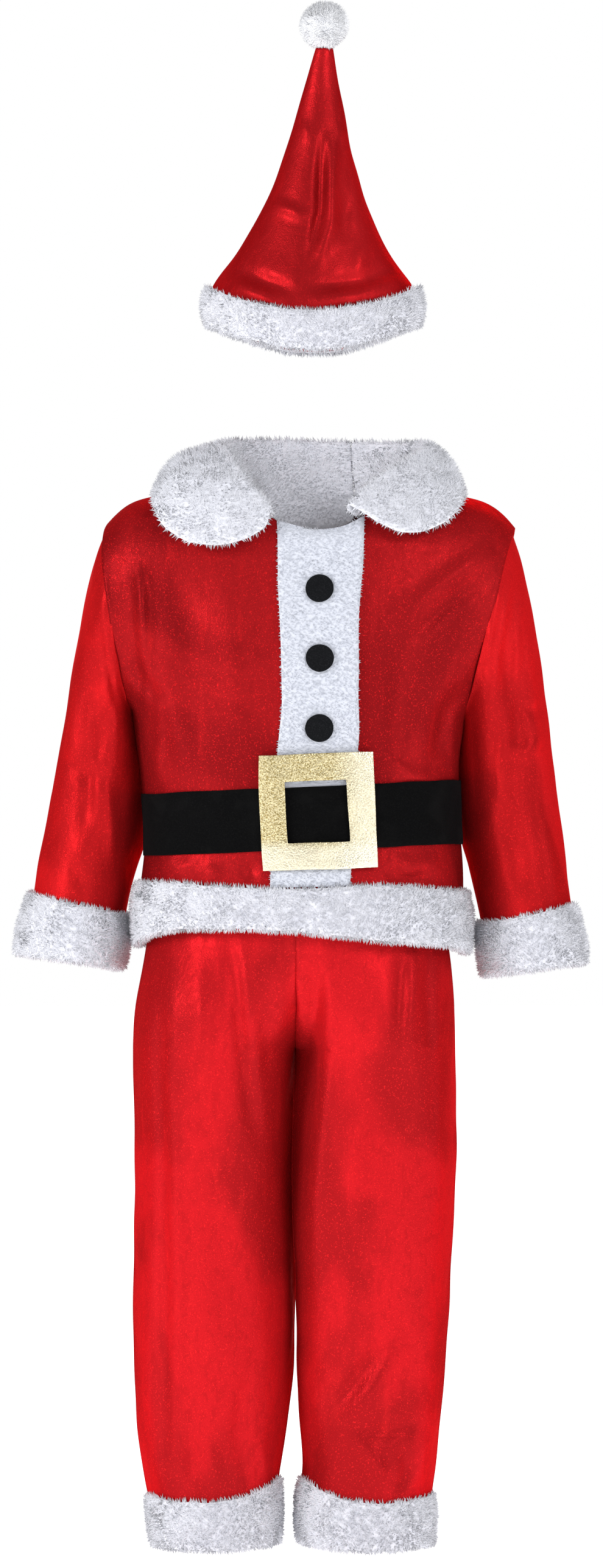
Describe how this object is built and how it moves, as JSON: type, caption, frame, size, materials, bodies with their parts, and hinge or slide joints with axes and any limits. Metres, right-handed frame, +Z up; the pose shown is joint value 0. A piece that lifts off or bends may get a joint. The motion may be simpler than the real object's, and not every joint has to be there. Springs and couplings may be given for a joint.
{
  "type": "child's santa suit",
  "caption": "Filled-out child's santa suit: pointed hat with pompom, velvet jacket with plush collar, strip, hem and cuffs, belt with square buckle, and trousers.",
  "frame": {"origin": "between the shoulders, level with the seam at the base of the neck, where the wearer's neck and shoulders carry the jacket", "axes": "+Z up, from the trouser cuffs to the hat; -Y is the front of the suit; +X is to the right of a viewer who faces the suit"},
  "size_m": [0.5298, 0.2189, 1.421],
  "materials": {
    "velvet": "red panne velvet with a soft sheen",
    "plush": "short dense white plush",
    "belt": "matt black velour",
    "felt": "matt black felt",
    "gold": "gold grained sheet, metallic sheen"
  },
  "bodies": {
    "root": {"jacket_front": "velvet", "jacket_back_left": "velvet", "jacket_back_right": "velvet", "front_strip": "plush", "hem_trim": "plush", "belt": "belt", "button_1": "felt", "button_2": "felt", "button_3": "felt", "buckle": "gold", "collar_left": "plush", "collar_right": "plush", "sleeve_left": "velvet", "sleeve_cuff_left": "plush", "sleeve_right": "velvet", "sleeve_cuff_right": "plush", "trouser_front_left": "velvet", "trouser_back_left": "velvet", "trouser_cuff_left": "plush", "trouser_front_right": "velvet", "trouser_back_right": "velvet", "trouser_cuff_right": "plush", "trouser_waistband": "velvet", "hat_front": "velvet", "hat_back": "velvet", "hat_brim": "plush", "hat_pompom": "plush"}
  },
  "joints": []
}
